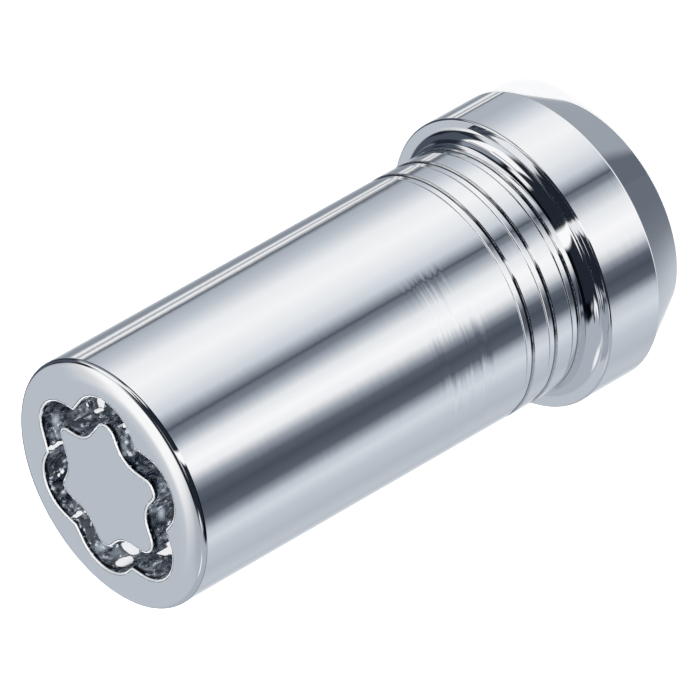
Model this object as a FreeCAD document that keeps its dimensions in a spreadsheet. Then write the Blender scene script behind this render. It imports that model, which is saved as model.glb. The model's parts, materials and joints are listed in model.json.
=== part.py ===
import FreeCAD, Part
import math
import os

import Sketcher

# Keyed wheel nut, turned from one steel bar: a cone seat, a flange, a long round body with three
# decorative rings, a wavy key groove in its closed end and a blind threaded hole for the stud.
# The flat ring of the seat end lies on Z = 0 round the origin, and the key face looks along +Z.
# Lengths are in millimetres and angles in degrees.

OUTSIDE = {
    "overall_length": 50.25,
    "body_diameter": 21.0,
    "flange_diameter": 24.6,
    "flange_land": 5.2,
    "seat_height": 4.3,
    "seat_angle": 60.0,
    "root_round": 1.1,
    "flange_rim_break": 0.2,
    "seat_top_break": 0.2,
    "seat_end_break": 0.2,
}

# The key face is flat in the middle, rolls off gently over its outer width and ends in a tighter
# round that meets the body.
KEY_FACE = {
    "face_roll_width": 1.9,
    "face_roll_radius": 9.0,
    "face_edge_radius": 0.35,
}

# Rings turned into the body just above the flange. The offset runs from the flange's face to the
# middle of the first ring.
RINGS = {
    "ring_count": 3,
    "ring_pitch": 2.4,
    "ring_offset": 1.95,
    "ring_width": 0.85,
    "ring_depth": 0.13,
    "ring_wall_angle": 45.0,
}

# Stud hole, M14 x 1.5. Its wall is the thread's minor diameter.
STUD_HOLE = {
    "thread_diameter": 14.0,
    "thread_pitch": 1.5,
    "drill_depth": 38.0,
    "drill_point_angle": 118.0,
    "mouth_diameter": 15.0,
    "mouth_angle": 90.0,
}

# Key groove. Its centre line weaves round a pitch circle, and the ridge is where the outer wall
# turns between two lobes.
KEY_GROOVE = {
    "key_pitch_diameter": 12.6,
    "key_width": 2.2,
    "key_depth": 4.0,
    "key_turn": 12.0,
    "key_ridge_round": 0.25,
    "key_lobe_fullness": 0.95,
    "key_mouth_break": 0.15,
}

# The key's code. Lobes and dips alternate at equal steps round the pitch circle. Each is then
# shifted by an angle, and raised from the pitch circle by a length.
KEY_CODE = {
    "lobe_a": (10.0, 0.8),
    "dip_a": (8.0, -0.3),
    "lobe_b": (3.0, 1.0),
    "dip_b": (-2.0, -0.1),
    "lobe_c": (-6.0, 1.0),
    "dip_c": (-9.0, -0.4),
    "lobe_d": (-10.0, 0.7),
    "dip_d": (-4.0, -1.1),
    "lobe_e": (-3.0, 0.3),
    "dip_e": (2.0, -1.4),
    "lobe_f": (7.0, 0.4),
    "dip_f": (11.0, -1.0),
}

# A cutter starts this far outside the surface that it cuts.
CUT_OVERRUN = 0.5
# Lengths closer than this count as the same when an edge is looked up.
SAME = 1e-4


def fill_sheet(doc):
    """Write every driving size into the sheet, one row each, with its name as the alias."""
    sheet = doc.addObject("Spreadsheet::Sheet", "Sizes")
    sizes = {**OUTSIDE, **KEY_FACE, **RINGS, **STUD_HOLE, **KEY_GROOVE, "cut_overrun": CUT_OVERRUN}
    for name, (shift, rise) in KEY_CODE.items():
        sizes[name + "_shift"] = shift
        sizes[name + "_rise"] = rise
    for row, (name, value) in enumerate(sizes.items(), start=1):
        sheet.set(f"A{row}", name)
        sheet.set(f"B{row}", str(value))
        sheet.setAlias(f"B{row}", name)
    doc.recompute()
    return sheet


def add_formulas(doc, name, formulas):
    """Sheet of sizes that follow from the driving ones, each written as a formula."""
    sheet = doc.addObject("Spreadsheet::Sheet", name)
    for row, (alias, formula) in enumerate(formulas.items(), start=1):
        sheet.set(f"A{row}", alias)
        sheet.set(f"B{row}", "=" + formula)
        sheet.setAlias(f"B{row}", alias)
    doc.recompute()
    return sheet


def outline_formulas():
    """Radii and heights of the turned outline."""
    # From the roll's centre to the edge round's centre, across and along their whole distance
    across = "(Sizes.face_roll_width - Sizes.face_edge_radius)"
    whole = "(Sizes.face_roll_radius - Sizes.face_edge_radius)"
    return {
        "body_radius": "Sizes.body_diameter / 2",
        "flange_radius": "Sizes.flange_diameter / 2",
        "seat_end_radius": "flange_radius - Sizes.seat_height * tan(Sizes.seat_angle / 2)",
        "flange_face": "Sizes.seat_height + Sizes.flange_land",
        "face_flat_radius": "body_radius - Sizes.face_roll_width",
        "roll_centre": "Sizes.overall_length - Sizes.face_roll_radius",
        "body_top": f"roll_centre + sqrt({whole} ^ 2 - {across} ^ 2)",
        "roll_end_radius": f"face_flat_radius + {across} * Sizes.face_roll_radius / {whole}",
        "roll_end_height": f"roll_centre + (body_top - roll_centre) * Sizes.face_roll_radius / {whole}",
        "ring_middle": "flange_face + Sizes.ring_offset",
        "ring_floor_half": "Sizes.ring_width / 2 - Sizes.ring_depth / tan(Sizes.ring_wall_angle)",
        "ring_mouth_half": "Sizes.ring_width / 2 + Sizes.cut_overrun / tan(Sizes.ring_wall_angle)",
        "bore_diameter": "Sizes.thread_diameter - 5 / 8 * sqrt(3) * Sizes.thread_pitch",
    }


def key_formulas():
    """Angle, arc radius and arc centre of each lobe and dip of the key groove's centre line."""
    names = list(KEY_CODE)
    cells = {}
    for place, name in enumerate(names):
        cells[name + "_angle"] = f"Sizes.key_turn + {place} * 360 / {len(names)} + Sizes.{name}_shift"
        cells[name + "_reach"] = f"Sizes.key_pitch_diameter / 2 + Sizes.{name}_rise"
    for name in names[1::2]:
        cells[name + "_round"] = "Sizes.key_width / 2 + Sizes.key_ridge_round"
        cells[name + "_centre"] = f"{name}_reach + {name}_round"
    for place in range(0, len(names), 2):
        name = names[place]
        # The largest arc that still runs smoothly into the dip's arc, for the dips on both sides
        limits = []
        for dip in (names[place - 1], names[place + 1]):
            across = f"{dip}_centre * cos({name}_angle - {dip}_angle)"
            gap = f"{name}_reach ^ 2 + {dip}_centre ^ 2 - 2 * {name}_reach * {across} - {dip}_round ^ 2"
            limits.append(f"({gap}) / (2 * ({name}_reach - {across} + {dip}_round))")
        cells[name + "_round"] = f"Sizes.key_lobe_fullness * min({limits[0]}; {limits[1]})"
        cells[name + "_centre"] = f"{name}_reach - {name}_round"
    return cells


def origin_part(body, role):
    """One of the body's own origin planes or axes."""
    return next(item for item in body.Origin.OriginFeatures if item.Role == role)


def new_sketch(body, name, role):
    """Empty sketch on one of the body's origin planes."""
    sketch = body.newObject("Sketcher::SketchObject", name)
    sketch.AttachmentSupport = [(origin_part(body, role), "")]
    sketch.MapMode = "FlatFace"
    return sketch


def at(x, y):
    """Point in a sketch."""
    return FreeCAD.Vector(x, y, 0)


def circle_at(centre, radius):
    """Circle in a sketch."""
    return Part.Circle(centre, FreeCAD.Vector(0, 0, 1), radius)


def tie(sketch, constraint, name, formula):
    """Add a constraint under a name, with its value tied to the sheets."""
    sketch.renameConstraint(sketch.addConstraint(constraint), name)
    sketch.setExpression("Constraints." + name, formula)


def hold_point(sketch, geometry, end, name, x, y):
    """Hold a point of a sketch at two formulas, or on an axis where one of them is None."""
    for kind, axis, formula in (("DistanceX", -2, x), ("DistanceY", -1, y)):
        if formula is None:
            sketch.addConstraint(Sketcher.Constraint("PointOnObject", geometry, end, axis))
            continue
        value = sketch.evalExpression(formula)
        distance = Sketcher.Constraint(kind, -1, 1, geometry, end, value)
        tie(sketch, distance, f"{name}_{kind[-1].lower()}", formula)


def arc_between(start, end, radius):
    """Arc from start round to end, anticlockwise, of less than half a turn."""
    chord = end - start
    side = FreeCAD.Vector(-chord.y, chord.x, 0).normalize()
    centre = (start + end) * 0.5 + side * math.sqrt(radius ** 2 - (chord.Length / 2) ** 2)
    angles = [math.atan2(point.y - centre.y, point.x - centre.x) for point in (start, end)]
    return Part.ArcOfCircle(circle_at(centre, radius), angles[0], angles[1])


def draw_outline(sketch, corners, arcs=None):
    """Closed outline through named corners, each placed by two formulas, anticlockwise.

    An arc runs from the corner that it is listed under to the next one. Its radius is a formula,
    and it bulges out of the outline or into it. The other sides are straight.
    """
    arcs = arcs or {}
    points = []
    for _, x, y in corners:
        points.append(at(*(0 if formula is None else sketch.evalExpression(formula) for formula in (x, y))))
    ends = []
    for place, (name, _, _) in enumerate(corners):
        start, end = points[place], points[(place + 1) % len(points)]
        formula, bulge = arcs.get(name, (None, "out"))
        if formula is None:
            sketch.addGeometry(Part.LineSegment(start, end), False)
        else:
            radius = sketch.evalExpression(formula)
            pair = (start, end) if bulge == "out" else (end, start)
            sketch.addGeometry(arc_between(*pair, radius), False)
        ends.append((1, 2) if bulge == "out" else (2, 1))
    for place in range(len(corners)):
        after = (place + 1) % len(corners)
        sketch.addConstraint(Sketcher.Constraint("Coincident", place, ends[place][1], after, ends[after][0]))
    for place, (name, x, y) in enumerate(corners):
        hold_point(sketch, place, ends[place][0], name, x, y)
        if name in arcs:
            radius = sketch.Geometry[place].Radius
            tie(sketch, Sketcher.Constraint("Radius", place, radius), name + "_arc", arcs[name][0])


def add_blank(body):
    """Bar turned to its outline."""
    sketch = new_sketch(body, "blank_outline", "XZ_Plane")
    corners = [
        ("seat_end_middle", None, None),
        ("seat_end_edge", "Outline.seat_end_radius", None),
        ("seat_top", "Outline.flange_radius", "Sizes.seat_height"),
        ("flange_rim", "Outline.flange_radius", "Outline.flange_face"),
        ("flange_root", "Outline.body_radius + Sizes.root_round", "Outline.flange_face"),
        ("body_foot", "Outline.body_radius", "Outline.flange_face + Sizes.root_round"),
        ("body_top", "Outline.body_radius", "Outline.body_top"),
        ("roll_end", "Outline.roll_end_radius", "Outline.roll_end_height"),
        ("face_flat_edge", "Outline.face_flat_radius", "Sizes.overall_length"),
        ("face_middle", None, "Sizes.overall_length"),
    ]
    arcs = {
        "flange_root": ("Sizes.root_round", "in"),
        "body_top": ("Sizes.face_edge_radius", "out"),
        "roll_end": ("Sizes.face_roll_radius", "out"),
    }
    draw_outline(sketch, corners, arcs)
    blank = body.newObject("PartDesign::Revolution", "blank")
    blank.Profile = sketch
    blank.ReferenceAxis = (sketch, ["V_Axis"])
    blank.Angle = 360
    return blank


def add_rings(body):
    """Ring groove with sloping walls, repeated up the body."""
    sketch = new_sketch(body, "ring_outline", "XZ_Plane")
    floor = "Outline.body_radius - Sizes.ring_depth"
    mouth = "Outline.body_radius + Sizes.cut_overrun"
    draw_outline(sketch, [
        ("floor_low", floor, "Outline.ring_middle - Outline.ring_floor_half"),
        ("mouth_low", mouth, "Outline.ring_middle - Outline.ring_mouth_half"),
        ("mouth_high", mouth, "Outline.ring_middle + Outline.ring_mouth_half"),
        ("floor_high", floor, "Outline.ring_middle + Outline.ring_floor_half"),
    ])
    ring = body.newObject("PartDesign::Groove", "ring")
    ring.Profile = sketch
    ring.ReferenceAxis = (sketch, ["V_Axis"])
    ring.Angle = 360
    rings = body.newObject("PartDesign::LinearPattern", "rings")
    rings.Originals = [ring]
    rings.Direction = (origin_part(body, "Z_Axis"), [""])
    rings.setExpression("Occurrences", "Sizes.ring_count")
    rings.setExpression("Length", "Sizes.ring_pitch * (Sizes.ring_count - 1)")
    body.Tip = rings
    return rings


def add_stud_hole(body):
    """Blind hole up the axis from the seat end, with a countersunk mouth and a drill's point."""
    sketch = new_sketch(body, "stud_hole_place", "XY_Plane")
    radius = sketch.evalExpression("Outline.bore_diameter / 2")
    sketch.addGeometry(circle_at(at(0, 0), radius), False)
    sketch.addConstraint(Sketcher.Constraint("Coincident", 0, 3, -1, 1))
    tie(sketch, Sketcher.Constraint("Radius", 0, radius), "bore_radius", "Outline.bore_diameter / 2")
    hole = body.newObject("PartDesign::Hole", "stud_hole")
    hole.Profile = sketch
    body.Document.recompute()
    hole.Reversed = True
    hole.ThreadType = "None"
    hole.DepthType = "Dimension"
    hole.DrillPoint = "Angled"
    hole.HoleCutType = "Countersink"
    hole.HoleCutCustomValues = True
    hole.setExpression("Diameter", "Outline.bore_diameter")
    hole.setExpression("Depth", "Sizes.drill_depth")
    hole.setExpression("DrillPointAngle", "Sizes.drill_point_angle")
    hole.setExpression("HoleCutDiameter", "Sizes.mouth_diameter")
    hole.setExpression("HoleCutCountersinkAngle", "Sizes.mouth_angle")
    return hole


def key_stations(sketch):
    """Centre, arc radius and turning sense of each lobe (1) and dip (-1), in order."""
    stations = []
    for name in KEY_CODE:
        angle = math.radians(sketch.evalExpression(f"KeyShape.{name}_angle"))
        centre = sketch.evalExpression(f"KeyShape.{name}_centre")
        radius = sketch.evalExpression(f"KeyShape.{name}_round")
        sense = 1 if name.startswith("lobe") else -1
        stations.append((at(centre * math.cos(angle), centre * math.sin(angle)), radius, sense))
    return stations


def wall_arcs(stations, offset):
    """Arcs of one wall of the groove, at an offset outwards from its centre line.

    A straight flank joins each arc to the next, square to both their radii.
    """
    leave = []
    for place, (centre, radius, sense) in enumerate(stations):
        other, other_radius, _ = stations[(place + 1) % len(stations)]
        line = other - centre
        lean = math.acos((radius + other_radius) / line.Length)
        leave.append(math.atan2(line.y, line.x) - sense * lean)
    arcs = []
    for place, (centre, radius, sense) in enumerate(stations):
        ends = [leave[place - 1] + math.pi, leave[place]]
        if sense < 0:
            ends.reverse()
        arcs.append(Part.ArcOfCircle(circle_at(centre, radius + sense * offset), ends[0], ends[1]))
    return arcs


def draw_wall(sketch, stations, offset, wall):
    """One closed wall of the groove: its arcs and the flanks between them, with all their ties."""
    arcs = wall_arcs(stations, offset)
    count = len(arcs)
    first = sketch.GeometryCount
    sketch.addGeometry(arcs, False)
    # Which end of each arc the wall comes in at, and which it leaves by
    ends = [(1, 2) if sense > 0 else (2, 1) for _, _, sense in stations]
    ties = []
    for place in range(count):
        after = (place + 1) % count
        start = sketch.getPoint(first + place, ends[place][1])
        end = sketch.getPoint(first + after, ends[after][0])
        flank = sketch.addGeometry(Part.LineSegment(start, end), False)
        ties.append(Sketcher.Constraint("Tangent", first + place, ends[place][1], flank, 1))
        ties.append(Sketcher.Constraint("Tangent", flank, 2, first + after, ends[after][0]))
    sketch.addConstraint(ties)
    outwards = 1 if offset > 0 else -1
    for place, (name, (_, _, sense)) in enumerate(zip(KEY_CODE, stations)):
        label = f"{name}_{wall}"
        sign = "+" if sense * outwards > 0 else "-"
        radius = Sketcher.Constraint("Radius", first + place, arcs[place].Radius)
        tie(sketch, radius, label + "_radius", f"KeyShape.{name}_round {sign} Sizes.key_width / 2")
        centre, angle = f"KeyShape.{name}_centre", f"KeyShape.{name}_angle"
        hold_point(sketch, first + place, 3, label, f"{centre} * cos({angle})", f"{centre} * sin({angle})")


def add_key_groove(body):
    """Wavy groove round the island in the middle of the key face."""
    sketch = new_sketch(body, "key_outline", "XY_Plane")
    sketch.setExpression(".AttachmentOffset.Base.z", "Sizes.overall_length")
    stations = key_stations(sketch)
    half_width = sketch.evalExpression("Sizes.key_width / 2")
    draw_wall(sketch, stations, half_width, "outer")
    draw_wall(sketch, stations, -half_width, "island")
    groove = body.newObject("PartDesign::Pocket", "key_groove")
    groove.Profile = sketch
    groove.Type = "Length"
    groove.setExpression("Length", "Sizes.key_depth")
    return groove


def circle_edge(shape, height, radius):
    """Name of the round edge at a height and radius about the axis."""
    for number, edge in enumerate(shape.Edges, start=1):
        if not isinstance(edge.Curve, Part.Circle) or not edge.isClosed():
            continue
        if abs(edge.Curve.Center.z - height) < SAME and abs(edge.Curve.Radius - radius) < SAME:
            return f"Edge{number}"
    raise RuntimeError(f"no round edge of radius {radius} at height {height}")


def key_mouth_edges(shape, height, reach):
    """Names of the edges that lie in the key face, inside the circle where it starts to roll off."""
    names = []
    for number, edge in enumerate(shape.Edges, start=1):
        box = edge.BoundBox
        level = abs(box.ZMin - height) < SAME and abs(box.ZMax - height) < SAME
        if level and all(math.hypot(vertex.X, vertex.Y) < reach - SAME for vertex in edge.Vertexes):
            names.append(f"Edge{number}")
    return names


def break_edges(body, sheet, outline):
    """Small chamfers on the turned edges and round both lips of the key groove."""
    feature = body.Tip
    circles = {
        "flange_rim_break": (outline.flange_face, outline.flange_radius),
        "seat_top_break": (sheet.seat_height, outline.flange_radius),
        "seat_end_break": (0, outline.seat_end_radius),
        "key_mouth_break": None,
    }
    for name, circle in circles.items():
        if circle:
            edges = [circle_edge(feature.Shape, *circle)]
        else:
            edges = key_mouth_edges(feature.Shape, sheet.overall_length, outline.face_flat_radius)
        chamfer = body.newObject("PartDesign::Chamfer", name)
        chamfer.Base = (feature, edges)
        chamfer.setExpression("Size", "Sizes." + name)
        body.Document.recompute()
        feature = chamfer
    return feature


def build_nut(doc, sheet, outline):
    """The nut as one body, each cut proved by the volume that it takes away."""
    body = doc.addObject("PartDesign::Body", "lug_nut")
    body.Label = "lug_nut"
    add_blank(body)
    doc.recompute()
    for add_cut in (add_rings, add_stud_hole, add_key_groove):
        volume = body.Shape.Volume
        add_cut(body)
        doc.recompute()
        if body.Shape.Volume >= volume:
            raise RuntimeError(add_cut.__name__ + " cut nothing")
    break_edges(body, sheet, outline)
    return body


def check_document(doc):
    """Stop if any feature failed or any sub-part has no sound solid."""
    for item in doc.Objects:
        if "Invalid" in item.State or "Error" in item.State:
            raise RuntimeError(f"{item.Name} failed: {item.State}")
        if item.TypeId == "PartDesign::Body" and (item.Shape.isNull() or not item.Shape.isValid()):
            raise RuntimeError(item.Label + " has no valid shape")


def main():
    doc = FreeCAD.newDocument("LugNut")
    sheet = fill_sheet(doc)
    outline = add_formulas(doc, "Outline", outline_formulas())
    add_formulas(doc, "KeyShape", key_formulas())
    body = build_nut(doc, sheet, outline)
    check_document(doc)
    os.makedirs("parts", exist_ok=True)
    body.Shape.exportStep(f"parts/{body.Label}.step")
    print(body.Label, "volume", round(body.Shape.Volume, 1), "mm3, faces", len(body.Shape.Faces))


main()
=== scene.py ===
import json
import math

import bpy
import numpy as np
from mathutils import Matrix, Vector


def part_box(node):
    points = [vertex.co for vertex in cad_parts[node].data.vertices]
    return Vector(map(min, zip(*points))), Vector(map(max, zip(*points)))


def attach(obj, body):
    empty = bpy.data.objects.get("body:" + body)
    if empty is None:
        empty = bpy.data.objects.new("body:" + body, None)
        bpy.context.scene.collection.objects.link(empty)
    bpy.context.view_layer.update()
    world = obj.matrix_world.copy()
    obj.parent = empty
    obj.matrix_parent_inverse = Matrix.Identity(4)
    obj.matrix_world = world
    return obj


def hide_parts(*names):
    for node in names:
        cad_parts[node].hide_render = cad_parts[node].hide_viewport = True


# Keyed wheel nut, chromed, standing on its seat end with its key face up. The whole nut is one mesh
# with the same turned outline and key groove as the solid, soft edges and the stud's real thread.
# Lengths are in millimetres and angles in degrees, unless a name says otherwise.
MM = 0.001

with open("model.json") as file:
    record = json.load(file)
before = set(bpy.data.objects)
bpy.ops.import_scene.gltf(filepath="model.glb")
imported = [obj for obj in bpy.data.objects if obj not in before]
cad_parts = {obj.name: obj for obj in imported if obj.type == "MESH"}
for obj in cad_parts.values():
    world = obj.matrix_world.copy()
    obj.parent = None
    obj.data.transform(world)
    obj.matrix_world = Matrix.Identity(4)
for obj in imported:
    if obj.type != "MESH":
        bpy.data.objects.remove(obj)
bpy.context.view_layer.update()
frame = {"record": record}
NUT_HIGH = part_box("lug_nut")[1] / MM
MOUNTS = {mount["name"]: mount for mount in frame["record"]["mounts"]}

# The turned outline
OVERALL_LENGTH = round(NUT_HIGH.z, 2)
FLANGE_RADIUS = round(NUT_HIGH.x, 2)
BODY_RADIUS = 10.5
SEAT_HEIGHT = MOUNTS["cone_seat"]["pos_m"][2] / MM
SEAT_ANGLE = 60.0
FLANGE_LAND = 5.2
FLANGE_FACE = SEAT_HEIGHT + FLANGE_LAND
SEAT_END_RADIUS = FLANGE_RADIUS - SEAT_HEIGHT * math.tan(math.radians(SEAT_ANGLE / 2))
ROOT_ROUND = 1.1
FLANGE_RIM_ROUND = 0.16
SEAT_TOP_ROUND = 0.25
SEAT_END_ROUND = 0.25
FACE_ROLL_WIDTH = 1.9
FACE_ROLL_RADIUS = 9.0
FACE_EDGE_RADIUS = 0.35

# Rings turned into the body above the flange
RING_COUNT = 3
RING_PITCH = 2.4
RING_OFFSET = 1.95
RING_WIDTH = 0.85
RING_DEPTH = 0.13
RING_MOUTH_ROUND = 0.1
RING_FLOOR_ROUND = 0.25

# Stud hole and its M14 x 1.5 thread
BORE_RADIUS = MOUNTS["stud_thread"]["dims"]["r_mm"]
THREAD_RADIUS = 7.0
THREAD_PITCH = 1.5
THREAD_FULL_TO = 32.0
THREAD_RUN_OUT = 2.0
DRILL_DEPTH = 38.0
DRILL_POINT_ANGLE = 118.0
DRILL_CORNER_ROUND = 0.2
MOUTH_RADIUS = 7.5
MOUTH_ROUND = 0.15
THREAD_STARTS = 0.25
# Shares of a pitch: the thread's flat crest, one flank, and from a corner to its guard points
THREAD_CREST = 1 / 4
THREAD_FLANK = 5 / 16
THREAD_GUARD = 0.018
# Radii of the two circles stitched together on the seat end's flat, and of the drilled point's fan
SEAT_RING_INNER = MOUTH_RADIUS + 0.8
BORE_RIM = MOUTH_RADIUS + 0.6
DRILL_TIP_RADIUS = 0.3

# Key groove
KEY_PITCH_RADIUS = 6.3
KEY_WIDTH = 2.2
KEY_DEPTH = 4.0
KEY_TURN = 12.0
KEY_RIDGE_ROUND = 0.25
KEY_LOBE_FULLNESS = 0.95
KEY_MOUTH_ROUND = 0.15
KEY_FLOOR_ROUND = 0.3
# Lobes and dips in turn round the axis: each one's shift in degrees from equal steps, and its rise
# from the pitch circle
KEY_LOBES = [(10.0, 0.8), (3.0, 1.0), (-6.0, 1.0), (-10.0, 0.7), (-3.0, 0.3), (7.0, 0.4)]
KEY_DIPS = [(8.0, -0.3), (-2.0, -0.1), (-9.0, -0.4), (-4.0, -1.1), (2.0, -1.4), (11.0, -1.0)]
# Share of the lips' depth that has the lips' painted highlight and shade
KEY_LIP_SHARE = 0.7
# Spots in the groove, each with its middle, radius and half height: bright flats that share one
# normal, soft painted glints, and dark patches of painted shade
KEY_FLATS = [
    (4.7, 5.36, 49.4, 0.2, 0.8),
    (-0.71, 7.49, 49.3, 0.2, 0.7),
    (6.64, -2.34, 49.56, 0.15, 0.15),
    (6.17, 3.61, 46.25, 0.15, 0.15),
    (5.75, 1.72, 46.28, 0.5, 0.4),
    (5.46, 1.52, 46.9, 0.4, 0.4),
    (3.45, -4.05, 48.9, 0.22, 0.22),
    (2.79, 7.87, 48.54, 0.2, 0.2),
    (2.64, 7.95, 48.9, 0.15, 0.15),
    (-5.0, 6.75, 47.3, 0.9, 0.5),
    (-5.6, 6.15, 48.7, 0.65, 0.85),
    (-6.26, 3.15, 46.84, 0.8, 0.8),
]
KEY_PAINTED_GLINTS = [
    (6.4, 4.5, 48.85, 0.9, 0.6),
    (-3.8, 7.3, 49.1, 0.6, 0.8),
    (-3.75, -2.1, 48.7, 0.9, 0.7),
    (-5.3, 6.4, 48.0, 1.6, 1.8),
    (-6.3, 3.3, 47.2, 1.3, 1.4),
]
KEY_SHADE_PATCHES = [
    (-2.2, 7.3, 49.4, 1.4, 1.2),
    (3.1, 7.7, 49.2, 1.5, 1.2),
    (5.4, 1.5, 49.0, 1.0, 0.9),
]
KEY_FLAT_NORMAL = (-0.05, -0.59, 0.80)
# Where a kind of spot starts and ends its fade in, as shares of the radius, and how strong it is.
# Rims are painted shade, dark rings that lie round the flats.
FLAT_FADE = (1.2, 0.9, 1.0)
PAINTED_RIM_SHADE_FADE = (1.9, 1.3, 0.8)
PAINTED_GLINT_FADE = (1.0, 0.0, 1.0)
PAINTED_SHADE_FADE = (1.0, 0.6, 0.7)
# Colours in the groove
GROOVE_PLATE = (0.63, 0.69, 0.77, 1.0)
GROOVE_FLAT = (0.79, 0.82, 0.86, 1.0)
# Satin, whose colour also paints the glints
SATIN_AND_GLINT_COLOUR = (0.78, 0.86, 0.95, 1.0)
# Painted shade, and the colour of the dark specks
SHADE_AND_SPECK_COLOUR = (0.025, 0.032, 0.046, 1.0)

# How finely the mesh is cut. A guard point lies this far along the straight beside each arc, so
# that smooth shading doesn't bend the straight.
AROUND = 360
BORE_AROUND = 90
ARC_STEP = 9.0
ROLL_STEP = 1.0
KEY_STEP = 6.0
GUARD = 0.025

# Chrome plate: the share of light that it gives back, looked at squarely
CHROME_COLOUR = (0.82, 0.84, 0.87)
# Its turning marks swing the normal round the axis, by most in a patchy zone of streaks above the
# rings. The zone fades in and out between these heights.
TURNING_STRETCH = (110.0, 110.0, 2600.0)
TURNING_SWING = 0.014
STREAK_SWING = 0.18
STREAKS_IN = (19.0, 20.8)
STREAKS_OUT = (26.2, 23.5)
# The studio stood near the nut, so its bands drift round the nut from its key end to its rings: the
# azimuth of the wall, and the drift in degrees
DRIFT = [
    (-46, 0.0), (-35, 1.6), (-27, 0.0), (-18, -2.2), (-10, -0.6), (0, 1.2), (6, 2.4), (12, 0.3),
    (16, 0.0), (58, 0.0), (67, 3.5), (71, 1.0),
]
# Heights at which the drift is nought and whole, and a limit that those drifts stay under
DRIFT_FROM, DRIFT_TO = 44.0, 18.0
DRIFT_LIMIT = 8.0
# The wider flange shows the lines on its +X side further round, by this turn
FLANGE_DRIFT = -3.0
# The key face shows the studio as if faintly domed. The tilt rises and ends between these radii,
# and between these depths under the face.
DOME_TILT = 0.035
DOME_RISES = (6.8, 8.7)
DOME_ENDS = (9.7, 9.0)
DOME_DEPTHS = (1.0, 0.5)
# Painted shade: a dark line in the crevice at the foot of each ring's lower wall. It fades in
# between these distances from it, and between these depths under the body.
CREVICE_NEAR = (0.1, 0.04)
CREVICE_DEPTHS = (0.06, 0.12)
CREVICE_SHADE_COLOUR = (0.3, 0.31, 0.33, 1.0)

# Camera. It stands on the -Y side and is rolled, because the photo shows the nut lying on a slant.
CAMERA_AIM = (-0.03, 0.0, 25.47)
CAMERA_ELEVATION = 32.339
CAMERA_DISTANCE = 979.49
CAMERA_ROLL = 119.581
CAMERA_LENS = 655.48
CAMERA_SENSOR = 36.0
CAMERA_NEAR, CAMERA_FAR = 50.0, 20000.0

# Stage and lamp, with their lengths in metres
FLOOR_RADIUS = 1.75
BACKDROP_RADIUS = 1.7
BACKDROP_LOW, BACKDROP_HIGH = -0.5, 2.5
STAGE_SIDES = 96
STAGE_WHITE = (0.9, 0.9, 0.9, 1.0)
FLOOR_GLOW = 0.74
BACKDROP_GLOW = 1.0
LAMP_AZIMUTH = -25.0
LAMP_ELEVATION = 62.0
LAMP_DISTANCE = 1.2
LAMP_SIZE = 0.7
LAMP_WATTS = 16.0

# Studio that the chrome shows. Directions have an azimuth, from 0 on the camera's side (-Y) to 90
# on the right (+X), and an elevation. Greys are those that the chrome shows, from 0 to 255.
# Bands that the nut's upright walls show: azimuth and grey
BANDS = [
    (-180, 244), (-169, 222), (-160, 196), (-152, 184), (-140, 190), (-121, 182), (-100, 194),
    (-87, 213), (-78, 196), (-72, 152), (-65, 96), (-52, 80), (-42, 98), (-34, 156), (-25, 236),
    (-16, 247), (-4, 229), (4, 174), (10, 126), (15, 112), (17, 84), (19, 116), (23, 146),
    (31, 205), (44, 228), (64, 243), (84, 234), (104, 192), (120, 170), (124, 88), (130, 246),
    (134, 150), (139, 240), (145, 138), (156, 140), (164, 182), (180, 240),
]
# A colour ramp holds 32 stops, so the bands are two ramps that meet here
BANDS_MEET = -4
# Elevations between which the bands give way to what is below and above them
BANDS_BOTTOM = (-36.0, -46.0)
BANDS_TOP = (-29.5, -25.5)
# Below, on the left and on the right, which the seat cone shows: two elevations, each with its grey
BELOW_LEFT = [(-84.0, 108), (-43.0, 192)]
BELOW_RIGHT = [(-79.5, 103), (-73.5, 156)]
# Low light in front, which draws the bright line round the seat's upper edge
FRONT_GREY = 246
# Cards above the bands: azimuth and half width, elevation and half height, softness and grey. Each
# covers those before it.
CARD_GROUND = 42
CARDS = [
    # Back wall and ceiling
    (150, 32, -12, 14, 4, 150),
    (180, 60, 84, 7, 3, 175),
    # Pale side wall, lit strips on it and at its near edge, and the dark beside it
    (-131, 50, 18, 40, 4, 172),
    (-108, 16, 60, 3, 1.5, 240),
    (-148, 12, 43, 4, 2, 236),
    (-88, 5, 53, 7, 2.5, 240),
    (-85, 7, 39, 4, 2.5, 30),
    (-74, 3, 36, 8, 2.5, 150),
    (-72, 8, 10, 14, 3, 14),
    # Dark behind the camera, a light over it and a narrow strip light that splits it
    (-45, 30, -15, 12, 3, 16),
    (40, 36, -17, 9, 3, 16),
    (-28, 22, 80, 10, 4, 252),
    (-8.5, 6, 30, 62, 2, 250),
    # Lit wall on the other side, with dark strips below it and behind it
    (52, 11, 8, 13, 4, 235),
    (90, 28, 34, 22, 4, 246),
    (76, 14, 26, 2, 2, 90),
    (100, 12, 17, 2, 2, 130),
    (95, 22, -4, 13, 5, 138),
    (85, 24, -17, 4, 2, 30),
    (141, 23, 18, 25, 4, 80),
    (130, 14, -6, 12, 4, 45),
    (138, 20, 52, 8, 4, 215),
    (138, 18, 40, 4, 1.5, 45),
    (159, 10, 35, 9, 1.5, 40),
    # What the key face shows: a grey wall, a glow over it and a dark top
    (180, 16, 24, 14, 3, 186),
    (172, 13, 49, 12, 4.5, 247),
    (180, 20, 56, 6, 1.5, 24),
]


def polar(radius, degrees):
    """Point at a radius and an angle in a plane."""
    angle = math.radians(degrees)
    return np.array([radius * math.cos(angle), radius * math.sin(angle)])


def arc_points(centre, radius, start, end, step):
    """Points of an arc from one angle to another, both ends included."""
    count = max(3, math.ceil(abs(end - start) / step))
    return [centre + polar(radius, angle) for angle in np.linspace(start, end, count + 1)]


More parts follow.
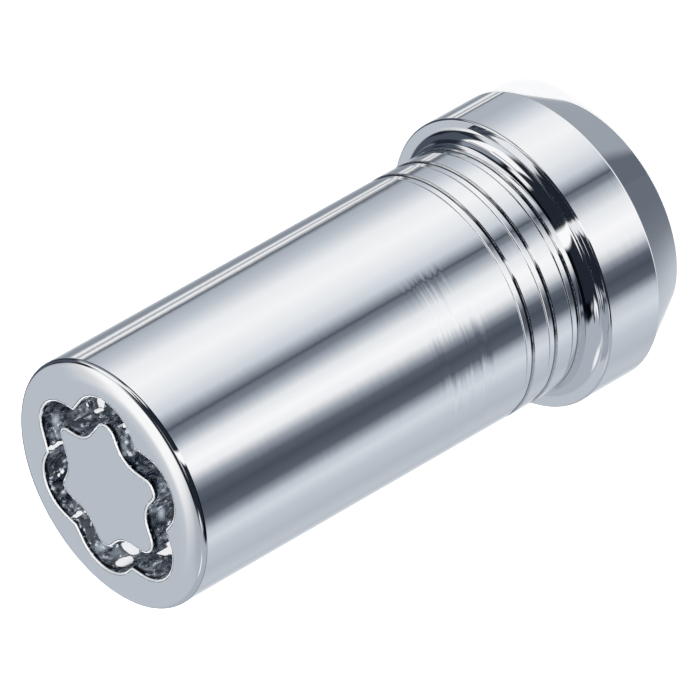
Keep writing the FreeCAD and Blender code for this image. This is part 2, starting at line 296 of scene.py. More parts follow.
def rounded_corner(before, corner, after, radius):
    """Arc that rounds a corner off, with a guard point on the straight at each end."""
    corner = np.array(corner, float)
    back = (before - corner) / np.linalg.norm(before - corner)
    on = (after - corner) / np.linalg.norm(after - corner)
    half = math.acos(float(back @ on)) / 2
    reach = radius / math.tan(half)
    middle = (back + on) / np.linalg.norm(back + on)
    centre = corner + middle * radius / math.sin(half)
    first = corner + back * reach - centre
    start = math.degrees(math.atan2(first[1], first[0]))
    turn = math.copysign(180 - math.degrees(2 * half), on[0] * back[1] - on[1] * back[0])
    points = arc_points(centre, radius, start, start + turn, ARC_STEP)
    return [corner + back * (reach + GUARD), *points, corner + on * (reach + GUARD)]


def rounded_path(corners):
    """Outline through corners, each with its own round, from the first point to the last."""
    places = [np.array(corner[:2], float) for corner in corners]
    points = [places[0]]
    for before, place, after, corner in zip(places, places[1:], places[2:], corners[1:]):
        points += rounded_corner(before, place, after, corner[2])
    return [*points, places[-1]]


class Shell:
    """Points and faces of one closed skin, built up ring by ring."""

    def __init__(self):
        self.points = []
        self.faces = []
        self.finishes = []

    def add_point(self, x, y, z):
        self.points.append((x * MM, y * MM, z * MM))
        return len(self.points) - 1

    def add_face(self, corners, finish):
        kept = [corner for place, corner in enumerate(corners) if corner != corners[place - 1]]
        if len(kept) > 2:
            self.faces.append(kept)
            self.finishes.append(finish)

    def circle(self, radius, height, count):
        """Ring round the axis."""
        ring = []
        for step in range(count):
            x, y = polar(radius, 360 * step / count)
            ring.append(self.add_point(x, y, height))
        return ring

    def join(self, ring, after, finish):
        """Band of faces between two rings with as many points."""
        for step in range(len(ring)):
            nxt = (step + 1) % len(ring)
            self.add_face([ring[step], ring[nxt], after[nxt], after[step]], finish)

    def join_all(self, rings, finish):
        for ring, after in zip(rings, rings[1:]):
            self.join(ring, after, finish)

    def stitch(self, ring, after, finish):
        """Flat band of triangles between two rings with different counts of points."""
        turns = [sorted((self.turn(point), point) for point in side) for side in (ring, after)]
        counts = [len(side) for side in turns]
        at = [0, 0]
        while at[0] < counts[0] or at[1] < counts[1]:
            now = [turns[side][at[side] % counts[side]][1] for side in (0, 1)]
            ahead = [self.turn_after(turns[side], at[side]) for side in (0, 1)]
            side = 0 if ahead[0] <= ahead[1] else 1
            nxt = turns[side][(at[side] + 1) % counts[side]][1]
            self.add_face([now[0], nxt, now[1]], finish)
            at[side] += 1

    def turn(self, point):
        x, y, _ = self.points[point]
        return math.atan2(y, x) % math.tau

    @staticmethod
    def turn_after(side, place):
        """Angle of the point after this one, counted on past a whole turn."""
        if place >= len(side):
            return math.inf
        whole, rest = divmod(place + 1, len(side))
        return side[rest][0] + whole * math.tau

    def cap(self, ring, height, finish, upwards):
        """Fan of triangles from a ring to a point on the axis."""
        middle = self.add_point(0, 0, height)
        for step in range(len(ring)):
            corners = [ring[step], ring[(step + 1) % len(ring)], middle]
            self.add_face(corners if upwards else corners[::-1], finish)


def outside_path():
    """Radius and height of the outside, from the seat end's flat ring to the key face's flat."""
    corners = [
        (SEAT_RING_INNER, 0.0),
        (SEAT_END_RADIUS, 0.0, SEAT_END_ROUND),
        (FLANGE_RADIUS, SEAT_HEIGHT, SEAT_TOP_ROUND),
        (FLANGE_RADIUS, FLANGE_FACE, FLANGE_RIM_ROUND),
        (BODY_RADIUS, FLANGE_FACE, ROOT_ROUND),
    ]
    floor = BODY_RADIUS - RING_DEPTH
    for ring in range(RING_COUNT):
        middle = FLANGE_FACE + RING_OFFSET + ring * RING_PITCH
        mouth_half = RING_WIDTH / 2
        floor_half = mouth_half - RING_DEPTH
        corners += [
            (BODY_RADIUS, middle - mouth_half, RING_MOUTH_ROUND),
            (floor, middle - floor_half, RING_FLOOR_ROUND),
            (floor, middle + floor_half, RING_FLOOR_ROUND),
            (BODY_RADIUS, middle + mouth_half, RING_MOUTH_ROUND),
        ]
    # The face's roll-off runs into the edge round, which runs into the body
    whole = FACE_ROLL_RADIUS - FACE_EDGE_RADIUS
    across = FACE_ROLL_WIDTH - FACE_EDGE_RADIUS
    roll_centre = np.array([BODY_RADIUS - FACE_ROLL_WIDTH, OVERALL_LENGTH - FACE_ROLL_RADIUS])
    edge_centre = roll_centre + np.array([across, math.sqrt(whole ** 2 - across ** 2)])
    meet = math.degrees(math.acos(across / whole))
    points = rounded_path([*corners, (BODY_RADIUS, edge_centre[1])])
    points[-1:] = [np.array([BODY_RADIUS, edge_centre[1] - GUARD])]
    points += arc_points(edge_centre, FACE_EDGE_RADIUS, 0, meet, ARC_STEP)
    points += arc_points(roll_centre, FACE_ROLL_RADIUS, meet, 90, ROLL_STEP)[1:]
    return [*points, points[-1] - np.array([GUARD, 0])]


def key_stations():
    """Centre, arc radius and sense of each lobe (1) and dip (-1) of the groove's centre line."""
    codes = [code for pair in zip(KEY_LOBES, KEY_DIPS) for code in pair]
    steps = len(codes)
    angles = [KEY_TURN + 360 * place / steps + shift for place, (shift, _) in enumerate(codes)]
    reaches = [KEY_PITCH_RADIUS + rise for _, rise in codes]
    dip_round = KEY_WIDTH / 2 + KEY_RIDGE_ROUND
    stations = []
    for place in range(steps):
        if place % 2:
            stations.append((polar(reaches[place] + dip_round, angles[place]), dip_round, -1))
            continue
        reach = reaches[place]
        limits = []
        for dip in (place - 1, (place + 1) % steps):
            centre = reaches[dip] + dip_round
            across = centre * math.cos(math.radians(angles[place] - angles[dip]))
            gap = reach ** 2 + centre ** 2 - 2 * reach * across - dip_round ** 2
            limits.append(gap / (2 * (reach - across + dip_round)))
        lobe_round = KEY_LOBE_FULLNESS * min(limits)
        stations.append((polar(reach - lobe_round, angles[place]), lobe_round, 1))
    return stations


def key_line():
    """Points of the groove's centre line, each with its outward direction, anticlockwise."""
    stations = key_stations()
    leave = []
    for place, (centre, radius, sense) in enumerate(stations):
        other, other_radius, _ = stations[(place + 1) % len(stations)]
        line = other - centre
        lean = math.acos((radius + other_radius) / np.linalg.norm(line))
        leave.append(math.degrees(math.atan2(line[1], line[0]) - sense * lean))
    line = []
    for place, (centre, radius, sense) in enumerate(stations):
        start = leave[place - 1] + 180
        sweep = sense * ((leave[place] - start) * sense % 360)
        count = max(3, math.ceil(abs(sweep) / KEY_STEP))
        arc = []
        for angle in np.linspace(start, start + sweep, count + 1):
            arc.append((centre + polar(radius, angle), polar(sense, angle)))
        for end, ahead in ((0, -GUARD), (-1, GUARD)):
            point, outward = arc[end]
            beside = point + ahead * np.array([-outward[1], outward[0]])
            arc.insert(0 if end == 0 else len(arc), (beside, outward))
        line += arc
    return line


def key_section():
    """Offset outwards and height of the groove's section, from its outer lip to its inner one."""
    half = KEY_WIDTH / 2
    lip = half + KEY_MOUTH_ROUND + 2 * GUARD
    floor = OVERALL_LENGTH - KEY_DEPTH
    return rounded_path([
        (lip, OVERALL_LENGTH),
        (half, OVERALL_LENGTH, KEY_MOUTH_ROUND),
        (half, floor, KEY_FLOOR_ROUND),
        (-half, floor, KEY_FLOOR_ROUND),
        (-half, OVERALL_LENGTH, KEY_MOUTH_ROUND),
        (-lip, OVERALL_LENGTH),
    ])


def add_key_groove(shell, rim):
    """Key face inside a ring: its flat, the wavy groove and the island."""
    line = key_line()
    rings = []
    for offset, height in key_section():
        ring = []
        for point, outward in line:
            x, y = point + offset * outward
            ring.append(shell.add_point(x, y, height))
        rings.append(ring)
    shell.stitch(rim, rings[0], "chrome")
    # The lips have a painted highlight and shade, and the groove is rougher below them
    heights = [height for _, height in key_section()]
    for ring, after, height, below in zip(rings, rings[1:], heights, heights[1:]):
        lip_foot = OVERALL_LENGTH - KEY_MOUTH_ROUND * KEY_LIP_SHARE
        lip = lip_foot < min(height, below) < OVERALL_LENGTH
        shell.join(ring, after, "edge" if lip else "recess")
    shell.cap(rings[-1], OVERALL_LENGTH, "chrome", True)


def thread_radius(height, turn):
    """Radius of the tapped wall at a height and a turn about the axis, in whole turns."""
    phase = (height / THREAD_PITCH - turn) % 1
    into = min(phase - THREAD_CREST, 1 - phase) / THREAD_FLANK
    cut = min(max(into, 0), 1) * (THREAD_RADIUS - BORE_RADIUS)
    run_out = (THREAD_FULL_TO + THREAD_RUN_OUT - height) / THREAD_RUN_OUT
    wall = BORE_RADIUS + cut * min(max(run_out, 0), 1)
    return max(wall, MOUTH_RADIUS - height)


def add_thread(shell, finish):
    """Tapped wall as helical rows of points. Returns its rings at the mouth and at the top."""
    low, high = THREAD_STARTS, THREAD_FULL_TO + THREAD_RUN_OUT
    corners = [0.0, THREAD_CREST, THREAD_CREST + THREAD_FLANK, 1 - THREAD_FLANK]
    sides = (-THREAD_GUARD, 0, THREAD_GUARD)
    phases = sorted((corner + side) % 1 for corner in corners for side in sides)
    known = {}

    def point(height, step):
        height = min(max(height, low), high)
        key = (step % BORE_AROUND, round(height, 5))
        if key not in known:
            turn = step / BORE_AROUND
            x, y = polar(thread_radius(height, turn), 360 * turn)
            known[key] = shell.add_point(x, y, height)
        return known[key]

    rows = []
    for pitch in range(math.floor(low / THREAD_PITCH) - 1, math.ceil(high / THREAD_PITCH) + 1):
        rows += [(pitch + phase) * THREAD_PITCH for phase in phases]
    for row, above in zip(rows, rows[1:]):
        for step in range(BORE_AROUND):
            rise = THREAD_PITCH * step / BORE_AROUND
            rise_on = THREAD_PITCH * (step + 1) / BORE_AROUND
            corners = [point(row + rise, step), point(above + rise, step)]
            corners += [point(above + rise_on, step + 1), point(row + rise_on, step + 1)]
            shell.add_face(corners, finish)
    return [[point(height, step) for step in range(BORE_AROUND)] for height in (low, high)]


def add_bore(shell, rim):
    """Stud hole inside a ring of the seat end: its mouth, thread, plain wall and drilled point."""
    path = rounded_path([
        (BORE_RIM, 0.0),
        (MOUTH_RADIUS, 0.0, MOUTH_ROUND),
        (MOUTH_RADIUS - THREAD_STARTS, THREAD_STARTS),
    ])
    # The mouth is listed inwards, so it is joined backwards for its faces to look into the hole
    mouth = [shell.circle(radius, height, BORE_AROUND) for radius, height in path[:-1]]
    mouth_ring, top_ring = add_thread(shell, "bore")
    inwards = [*mouth, mouth_ring]
    shell.join_all(inwards[::-1], "bore")
    shell.stitch(mouth[0], rim, "chrome")
    point_depth = BORE_RADIUS / math.tan(math.radians(DRILL_POINT_ANGLE / 2))
    top = rounded_path([
        (BORE_RADIUS, THREAD_FULL_TO + THREAD_RUN_OUT + GUARD),
        (BORE_RADIUS, DRILL_DEPTH, DRILL_CORNER_ROUND),
        (DRILL_TIP_RADIUS, DRILL_DEPTH + point_depth * (1 - DRILL_TIP_RADIUS / BORE_RADIUS)),
    ])
    upper = [top_ring, *(shell.circle(radius, height, BORE_AROUND) for radius, height in top)]
    shell.join_all(upper[::-1], "bore")
    shell.cap(upper[-1], DRILL_DEPTH + point_depth, "bore", False)


def build_nut(materials):
    """The nut as one closed mesh."""
    shell = Shell()
    rings = [shell.circle(radius, height, AROUND) for radius, height in outside_path()]
    shell.join_all(rings, "chrome")
    add_key_groove(shell, rings[-1])
    add_bore(shell, rings[0])
    mesh = bpy.data.meshes.new("keyed_wheel_nut")
    mesh.from_pydata(shell.points, [], shell.faces)
    names = list(materials)
    for material in materials.values():
        mesh.materials.append(material)
    mesh.polygons.foreach_set("material_index", [names.index(finish) for finish in shell.finishes])
    mesh.polygons.foreach_set("use_smooth", [True] * len(shell.faces))
    mesh.update()
    nut = bpy.data.objects.new("keyed_wheel_nut", mesh)
    bpy.context.scene.collection.objects.link(nut)
    return nut


class Nodes:
    """Short calls that add nodes to a tree."""

    def __init__(self, tree):
        self.tree = tree
        tree.nodes.clear()

    def add(self, kind, inputs=None, **settings):
        """Node with its inputs, which are values or sockets to link."""
        node = self.tree.nodes.new(kind)
        for name, value in settings.items():
            setattr(node, name, value)
        for name, value in (inputs or {}).items():
            if isinstance(value, bpy.types.NodeSocket):
                self.tree.links.new(value, node.inputs[name])
            else:
                node.inputs[name].default_value = value
        return node

    def math(self, operation, *values):
        node = self.add("ShaderNodeMath", dict(enumerate(values)), operation=operation)
        return node.outputs[0]

    def place(self):
        """Where each point is on the piece."""
        return self.add("ShaderNodeTexCoord").outputs["Object"]

    def product(self, first, *others):
        for other in others:
            first = self.math("MULTIPLY", first, other)
        return first

    def largest(self, first, *others):
        for other in others:
            first = self.math("MAXIMUM", first, other)
        return first

    def rest(self, share):
        """What is left of a whole."""
        return self.math("SUBTRACT", 1.0, share)

    def vector(self, operation, *values):
        node = self.add("ShaderNodeVectorMath", dict(enumerate(values)), operation=operation)
        return node.outputs[0]

    def scaled(self, vector, factor):
        inputs = {0: vector, "Scale": factor}
        return self.add("ShaderNodeVectorMath", inputs, operation="SCALE").outputs[0]

    def length(self, vector):
        return self.add("ShaderNodeVectorMath", {0: vector}, operation="LENGTH").outputs["Value"]

    def stretched(self, vector, factors):
        return self.add("ShaderNodeMapping", {"Vector": vector, "Scale": factors}).outputs[0]

    def part(self, vector, axis):
        return self.add("ShaderNodeSeparateXYZ", {"Vector": vector}).outputs[axis]

    def fade(self, value, start, end, low=0.0, high=1.0):
        """Smooth step from low to high as the value goes from start to end."""
        inputs = {"Value": value, "From Min": start, "From Max": end, "To Min": low, "To Max": high}
        node = self.add("ShaderNodeMapRange", inputs, interpolation_type="SMOOTHSTEP")
        return node.outputs["Result"]

    def fade_along(self, length, start, end, low=0.0, high=1.0):
        """The same for a length in the scene, between two lengths in millimetres."""
        return self.fade(length, start * MM, end * MM, low, high)

    def mix(self, share, first, second):
        """Colour between two colours."""
        inputs = {"Factor": share, 6: first, 7: second}
        return self.add("ShaderNodeMix", inputs, data_type="RGBA").outputs[2]

    def noise(self, vector, scale, detail=2.0, roughness=0.5):
        inputs = {"Vector": vector, "Scale": scale, "Detail": detail, "Roughness": roughness}
        return self.add("ShaderNodeTexNoise", inputs).outputs["Fac"]

    def ramp(self, value, stops):
        """Colour ramp through (place, colour) stops."""
        node = self.add("ShaderNodeValToRGB", {"Fac": value})
        points = node.color_ramp.elements
        while len(points) < len(stops):
            points.new(1.0)
        for point, (place, colour) in zip(points, stops):
            point.position = place
            point.color = colour
        return node.outputs["Color"]


def new_material(name):
    """Material and its empty tree."""
    material = bpy.data.materials.new(name)
    material.use_nodes = True
    return material, Nodes(material.node_tree)


def finish_material(nodes, colour, **inputs):
    """Metal shader. Its inputs are numbers, or sockets for what varies over the surface."""
    inputs = {"Metallic": 1.0, **{name.replace("_", " "): value for name, value in inputs.items()}}
    inputs["Base Color"] = colour
    shader = nodes.add("ShaderNodeBsdfPrincipled", inputs)
    nodes.add("ShaderNodeOutputMaterial", {"Surface": shader.outputs[0]})


def turning_swing(nodes, place, height, wall):
    """Swing of the normal by the turning marks, in radians."""
    marks = nodes.noise(nodes.stretched(place, TURNING_STRETCH), 1.0, 3.0, 0.6)
    marks = nodes.math("SUBTRACT", marks, 0.5)
    rise = nodes.fade_along(height, *STREAKS_IN)
    fall = nodes.fade_along(height, *STREAKS_OUT)
    patches = nodes.fade(nodes.noise(place, 260.0, 1.0), 0.32, 0.52)
    # The +X side of the nut keeps a clean polish
    zone = nodes.product(rise, fall, patches, nodes.fade(wall, 0.63, 0.59))
    return nodes.product(marks, nodes.math("MULTIPLY_ADD", zone, STREAK_SWING, TURNING_SWING))


def band_drift(nodes, height, wall):
    """Turn of the normal round the axis, in radians, that makes the bands drift along the nut."""
    # The ramp's greys, from 0 to 1, stand for drifts from one limit to the other
    stops = []
    for azimuth, drift in DRIFT:
        grey = drift / (2 * DRIFT_LIMIT) + 0.5
        stops.append((math.sin(math.radians(azimuth)) / 2 + 0.5, (grey, grey, grey, 1.0)))
    limit = math.radians(DRIFT_LIMIT)
    drift = nodes.math("MULTIPLY_ADD", nodes.ramp(wall, stops), -2 * limit, limit)
    along = (DRIFT_TO - DRIFT_FROM) * MM
    share = nodes.math("MULTIPLY_ADD", height, 1 / along, -DRIFT_FROM * MM / along)
    # The flange's turn works near the outline on its +X side
    turn = math.radians(FLANGE_DRIFT)
    on_flange = nodes.fade_along(height, FLANGE_FACE + 0.6, FLANGE_FACE, 0.0, turn)
    far = nodes.product(nodes.fade(wall, 0.92, 0.96), nodes.fade(wall, 0.995, 0.984))
    return nodes.math("ADD", nodes.product(drift, share), nodes.product(on_flange, far))


def chrome_material():
    """Bright chrome plate over fine turning marks, with painted shade in the crevices of the rings.
    """
    material, nodes = new_material("chrome_plate")
    place = nodes.place()
    normal = nodes.add("ShaderNodeNewGeometry").outputs["Normal"]
    height = nodes.part(place, "Z")
    # Which way a wall looks, from 0 for -X to 1 for +X
    wall = nodes.math("MULTIPLY_ADD", nodes.part(normal, "X"), 0.5, 0.5)
    swing = turning_swing(nodes, place, height, wall)
    swing = nodes.math("ADD", swing, band_drift(nodes, height, wall))
    round_axis = nodes.vector("CROSS_PRODUCT", (0.0, 0.0, 1.0), normal)
    swung = nodes.vector("ADD", normal, nodes.scaled(round_axis, swing))
    from_axis = nodes.vector("MULTIPLY", place, (1.0, 1.0, 0.0))
    radius = nodes.length(from_axis)
    dome = nodes.product(
        nodes.fade_along(radius, *DOME_RISES, 0.0, DOME_TILT),
        nodes.fade_along(radius, *DOME_ENDS),
        nodes.fade_along(height, *(OVERALL_LENGTH - depth for depth in DOME_DEPTHS)),
    )
    domed = nodes.scaled(nodes.vector("NORMALIZE", from_axis), dome)
    shown = nodes.vector("NORMALIZE", nodes.vector("ADD", swung, domed))
    # Faint cloudiness in the plate
    roughness = nodes.fade(nodes.noise(place, 180.0, 3.0), 0.35, 0.75, 0.03, 0.06)
    # Every ring's crevice lies a whole number of pitches from the first
    crevice = FLANGE_FACE + RING_OFFSET - RING_WIDTH / 2 + RING_DEPTH
    half_pitch = RING_PITCH * MM / 2
    beside = nodes.math("SUBTRACT", height, crevice * MM)
    beside = nodes.math("ABSOLUTE", nodes.math("WRAP", beside, half_pitch, -half_pitch))
    near = nodes.fade_along(beside, *CREVICE_NEAR)
    sunk = nodes.fade_along(radius, *(BODY_RADIUS - depth for depth in CREVICE_DEPTHS))
    # Painted shade darkens the plate's colour in each ring's crevice
    colour = nodes.mix(nodes.product(near, sunk), (*CHROME_COLOUR, 1.0), CREVICE_SHADE_COLOUR)
    finish_material(nodes, colour, Roughness=roughness, Normal=shown)
    return material


def lip_highlight_material():
    """Lips of the key groove, with a painted highlight and shade that go by the way they face."""
    material, nodes = new_material("lips_painted_highlight")
    normal = nodes.add("ShaderNodeTexCoord").outputs["Normal"]
    level = nodes.vector("NORMALIZE", nodes.vector("MULTIPLY", normal, (1.0, 1.0, 0.0)))
    # From -1 where a lip looks to the front to 1 where it looks to the back
    looks = nodes.part(level, "Y")
    front = (0.8, 0.81, 0.82, 1.0)
    between = (0.58, 0.6, 0.62, 1.0)
    back = (0.88, 0.91, 0.94, 1.0)
    # Painted highlight on lips that face the front or the back, and painted shade on those between
    colour = nodes.mix(nodes.fade(looks, -0.95, -0.6), front, between)
    colour = nodes.mix(nodes.fade(looks, -0.4, 0.2), colour, back)
    finish_material(nodes, colour, Roughness=0.35, Metallic=0.1)
    return material


def recess_material():
    """Walls and floor of the key groove: plate over milled steel, small bright flats, painted
    glints and painted shade.
    """
    material, nodes = new_material("plate_in_key_groove")
    place = nodes.place()
    height = nodes.part(place, "Z")
    strokes = nodes.stretched(place, (1.0, 1.0, 0.45))
    fine = nodes.noise(place, 2600.0, 1.0)
    ragged = nodes.math("MULTIPLY_ADD", fine, 0.4 * MM, -0.2 * MM)

    def spot(x, y, z, radius, half_height, start, end, strength):
        """Share of a spot with a ragged edge."""
        away = nodes.vector("SUBTRACT", place, (x * MM, y * MM, z * MM))
        away = nodes.vector("MULTIPLY", away, (1.0, 1.0, radius / half_height))
        away = nodes.math("ADD", nodes.length(away), ragged)
        return nodes.fade_along(away, radius * start, radius * end, 0.0, strength)

    flats = nodes.largest(*(spot(*flat, *FLAT_FADE) for flat in KEY_FLATS))
    rims = nodes.largest(*(spot(*flat, *PAINTED_RIM_SHADE_FADE) for flat in KEY_FLATS))
    glows = nodes.largest(*(spot(*glow, *PAINTED_GLINT_FADE) for glow in KEY_PAINTED_GLINTS))
    darks = nodes.largest(*(spot(*dark, *PAINTED_SHADE_FADE) for dark in KEY_SHADE_PATCHES))
    satin = nodes.fade(nodes.noise(strokes, 900.0, 2.0), 0.36, 0.64)
    # The painted glints take the satin's pale colour, roughness and metal
    satin = nodes.product(nodes.largest(satin, glows), nodes.rest(flats))
    # Specks and the hearts of the painted glints are flats too
    specks = nodes.fade(fine, 0.57, 0.66, 0.0, 0.85)
    flats = nodes.largest(flats, nodes.product(glows, 0.55), specks)
    coarse = nodes.noise(strokes, 1300.0, 2.0)
    bump = nodes.add("ShaderNodeBump", {"Height": coarse, "Strength": 1.0, "Distance": 0.35 * MM})
    wall = nodes.scaled(bump.outputs[0], nodes.rest(flats))
    normal = nodes.vector("ADD", wall, nodes.scaled(KEY_FLAT_NORMAL, flats))
    normal = nodes.vector("NORMALIZE", normal)
    # Painted shade under the lips, round the flats, down in the groove and in dark patches, with
    # dark specks at random
    top = OVERALL_LENGTH
    lifted = nodes.math("MULTIPLY_ADD", nodes.noise(place, 700.0, 1.0), 0.9 * MM, height)
    under = nodes.fade_along(lifted, top - 0.05, top + 0.15)
    deep = nodes.fade_along(height, top - 1.2, top - 2.8, 0.0, 0.4)
    dark_specks = nodes.product(nodes.fade(fine, 0.46, 0.38, 0.0, 0.75), nodes.rest(glows))
    dark = nodes.product(nodes.largest(under, rims, deep, darks, dark_specks), nodes.rest(flats))
    colour = nodes.mix(flats, GROOVE_PLATE, GROOVE_FLAT)
    colour = nodes.mix(satin, colour, SATIN_AND_GLINT_COLOUR)
    colour = nodes.mix(dark, colour, SHADE_AND_SPECK_COLOUR)
    roughness = nodes.math("MULTIPLY_ADD", satin, 0.3, 0.14)
    metallic = nodes.math("MULTIPLY_ADD", satin, -0.45, 1.0)
    finish_material(nodes, colour, Roughness=roughness, Normal=normal, Metallic=metallic)
    return material


def bore_material():
    """Tapped steel, thinly plated towards the mouth and darker further inside."""
    material, nodes = new_material("tapped_steel")
    place = nodes.place()
    depth = nodes.fade_along(nodes.part(place, "Z"), 1.0, 12.0)
    cloud = nodes.noise(place, 500.0, 3.0)
    bright = nodes.mix(cloud, (0.62, 0.63, 0.65, 1.0), (0.72, 0.73, 0.75, 1.0))
    dull = nodes.mix(cloud, (0.34, 0.34, 0.35, 1.0), (0.46, 0.46, 0.46, 1.0))
    roughness = nodes.fade(cloud, 0.3, 0.7, 0.2, 0.36)
    finish_material(nodes, nodes.mix(depth, bright, dull), Roughness=roughness)
    return material


def studio_colour(grey):
    """Colour of a studio surface that the chrome shows as this grey.

    Greys lean to blue, and whites and blacks hardly do.
    """
    off_black = min(1.0, grey / 60.0)
    off_white = min(1.0, max(0.0, (246.0 - grey) / 40.0))
    lean = off_white * off_black
    red = grey - 7.2 * lean
    blue = grey + (12.5 - 0.027 * grey) * lean + 1.5 * off_black
    shown = [max(part, 0.0) / 255 for part in (red, grey, blue)]
    return (*(part ** 2.2 / share for part, share in zip(shown, CHROME_COLOUR)), 1.0)


def studio_bands(nodes, azimuth):
    """Bands that upright walls show."""
    share = nodes.math("MULTIPLY_ADD", azimuth, 1 / 360, 0.5)
    left = [band for band in BANDS if band[0] <= BANDS_MEET]
    right = [band for band in BANDS if band[0] >= BANDS_MEET]
    ramps = []
    for bands in (left, right):
        stops = [(place / 360 + 0.5, studio_colour(grey)) for place, grey in bands]
        ramps.append(nodes.ramp(share, stops))
    return nodes.mix(nodes.math("GREATER_THAN", azimuth, BANDS_MEET), *ramps)


def studio_below(nodes, direction, elevation):
    """What lies below the bands, on two sides, and the low light in front."""
    sides = []
    for (low, low_grey), (high, high_grey) in (BELOW_LEFT, BELOW_RIGHT):
        rise = nodes.fade(elevation, low, high)
        sides.append(nodes.mix(rise, studio_colour(low_grey), studio_colour(high_grey)))
    on_right = nodes.math("GREATER_THAN", nodes.part(direction, "X"), 0.0)
    below = nodes.mix(on_right, *sides)
    in_front = nodes.fade(nodes.part(direction, "Y"), -0.02, -0.15)
    return nodes.mix(in_front, below, studio_colour(FRONT_GREY))


def studio_cards(nodes, azimuth, elevation):
    """Soft-edged cards above the bands."""
    cards = studio_colour(CARD_GROUND)
    for middle, half, height, half_height, soft, grey in CARDS:
        aside = nodes.math("WRAP", nodes.math("SUBTRACT", azimuth, middle), 180.0, -180.0)
        across = nodes.fade(nodes.math("ABSOLUTE", aside), half + soft, half - soft)
        above = nodes.math("ABSOLUTE", nodes.math("SUBTRACT", elevation, height))
        along = nodes.fade(above, half_height + soft, half_height - soft)
        cards = nodes.mix(nodes.product(across, along), cards, studio_colour(grey))
    return cards


def build_world():
    """Photo studio by direction."""
    world = bpy.data.worlds.new("studio")
    bpy.context.scene.world = world
    world.use_nodes = True
    nodes = Nodes(world.node_tree)
    direction = nodes.add("ShaderNodeTexCoord").outputs["Generated"]
    direction = nodes.vector("NORMALIZE", direction)
    front = nodes.product(nodes.part(direction, "Y"), -1.0)
    azimuth = nodes.math("ARCTAN2", nodes.part(direction, "X"), front)
    azimuth = nodes.math("DEGREES", azimuth)
    elevation = nodes.math("DEGREES", nodes.math("ARCSINE", nodes.part(direction, "Z")))
    bands = studio_bands(nodes, azimuth)
    below = studio_below(nodes, direction, elevation)
    cards = studio_cards(nodes, azimuth, elevation)
    colour = nodes.mix(nodes.fade(elevation, *BANDS_BOTTOM), bands, below)
    colour = nodes.mix(nodes.fade(elevation, *BANDS_TOP), colour, cards)
    light = nodes.add("ShaderNodeBackground", {"Color": colour, "Strength": 1.0})
    nodes.add("ShaderNodeOutputWorld", {"Surface": light.outputs[0]})


def stage_material(name, glow):
    """Matt white with a glow of its own that the camera, gloss and glass see."""
    material, nodes = new_material(name)
    path = nodes.add("ShaderNodeLightPath").outputs
    rays = ("Is Camera Ray", "Is Glossy Ray", "Is Transmission Ray")
    strength = nodes.product(nodes.largest(*(path[ray] for ray in rays)), glow)
    emission = nodes.add("ShaderNodeEmission", {"Color": STAGE_WHITE, "Strength": strength})
    matt = nodes.add("ShaderNodeBsdfDiffuse", {"Color": STAGE_WHITE})
    both = nodes.add("ShaderNodeAddShader", {0: emission.outputs[0], 1: matt.outputs[0]})
    nodes.add("ShaderNodeOutputMaterial", {"Surface": both.outputs[0]})
    return material


def stage_ring(radius, height):
    """Corners of a circle of the stage, with its radius and height in metres."""
    steps = range(STAGE_SIDES)
    return [(*polar(radius, 360 * step / STAGE_SIDES), height) for step in steps]


def stage_piece(name, points, faces, glow):
    """Piece of the stage. The chrome shows the studio round the nut, and not the stage."""
    mesh = bpy.data.meshes.new(name)
    mesh.from_pydata(points, [], faces)
    mesh.materials.append(stage_material(name + "_white", glow))
    piece = bpy.data.objects.new(name, mesh)
    bpy.context.scene.collection.objects.link(piece)
    piece.visible_glossy = False
    return piece


def build_stage():
    """White floor under the nut, and a white wall round it for low views."""
    stage_piece("floor", stage_ring(FLOOR_RADIUS, 0.0), [list(range(STAGE_SIDES))], FLOOR_GLOW)
    points = stage_ring(BACKDROP_RADIUS, BACKDROP_LOW) + stage_ring(BACKDROP_RADIUS, BACKDROP_HIGH)
    faces = []
    for step in range(STAGE_SIDES):
        nxt = (step + 1) % STAGE_SIDES
        faces.append([step, nxt, STAGE_SIDES + nxt, STAGE_SIDES + step])
    wall = stage_piece("backdrop", points, faces, BACKDROP_GLOW)
    wall.visible_diffuse = False
    wall.visible_shadow = False


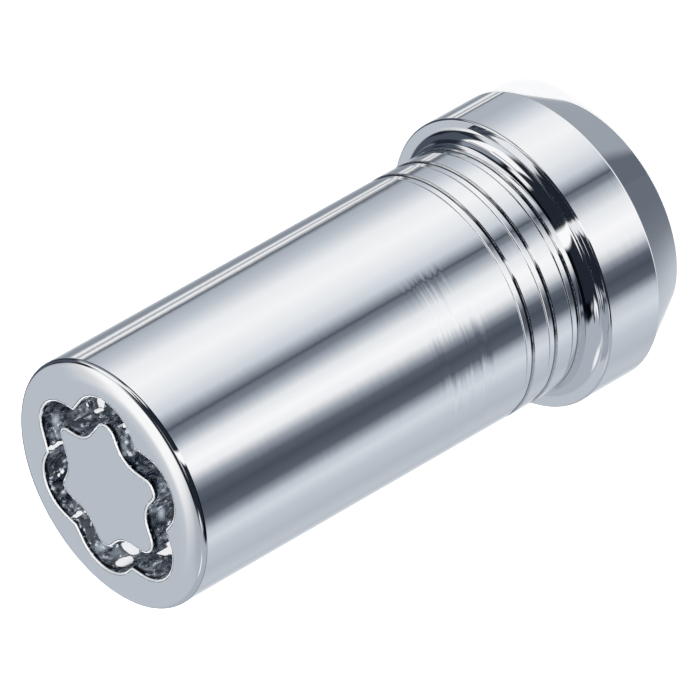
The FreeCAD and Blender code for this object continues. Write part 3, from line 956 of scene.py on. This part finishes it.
def aim(item, place, target, roll=0.0):
    """Point a lamp or camera from a place at a target, with its top rolled to the right."""
    ahead = (target - place).normalized()
    right = ahead.cross(Vector((0, 0, 1))).normalized()
    top = right.cross(ahead)
    turn = math.radians(roll)
    up = top * math.cos(turn) + right * math.sin(turn)
    side = right * math.cos(turn) - top * math.sin(turn)
    facing = Matrix((side, up, -ahead)).transposed().to_4x4()
    item.matrix_world = Matrix.Translation(place) @ facing


def from_target(target, azimuth, elevation, distance):
    """Place at an azimuth, elevation and distance from a target. Azimuth 0 looks along +Y."""
    turn, lift = math.radians(azimuth), math.radians(elevation)
    flat = math.cos(lift)
    away = Vector((math.sin(turn) * flat, -math.cos(turn) * flat, math.sin(lift)))
    return target + away * distance


def build_lamp():
    """Softbox that casts the nut's shadow on the floor."""
    data = bpy.data.lights.new("softbox", "AREA")
    data.shape = "DISK"
    data.size = LAMP_SIZE
    data.energy = LAMP_WATTS
    lamp = bpy.data.objects.new("softbox", data)
    bpy.context.scene.collection.objects.link(lamp)
    lamp.visible_glossy = False
    target = Vector((0, 0, 0))
    aim(lamp, from_target(target, LAMP_AZIMUTH, LAMP_ELEVATION, LAMP_DISTANCE), target)


def build_camera():
    data = bpy.data.cameras.new("camera")
    data.sensor_width = CAMERA_SENSOR
    data.lens = CAMERA_LENS
    data.clip_start = CAMERA_NEAR * MM
    data.clip_end = CAMERA_FAR * MM
    camera = bpy.data.objects.new("camera", data)
    bpy.context.scene.collection.objects.link(camera)
    target = Vector(CAMERA_AIM) * MM
    place = from_target(target, 0.0, CAMERA_ELEVATION, CAMERA_DISTANCE * MM)
    aim(camera, place, target, CAMERA_ROLL)
    bpy.context.scene.camera = camera


def main():
    bpy.context.scene.view_settings.view_transform = "Standard"
    nut = build_nut({
        "chrome": chrome_material(),
        "edge": lip_highlight_material(),
        "recess": recess_material(),
        "bore": bore_material(),
    })
    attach(nut, "root")
    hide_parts("lug_nut")
    build_world()
    build_stage()
    build_lamp()
    build_camera()


main()
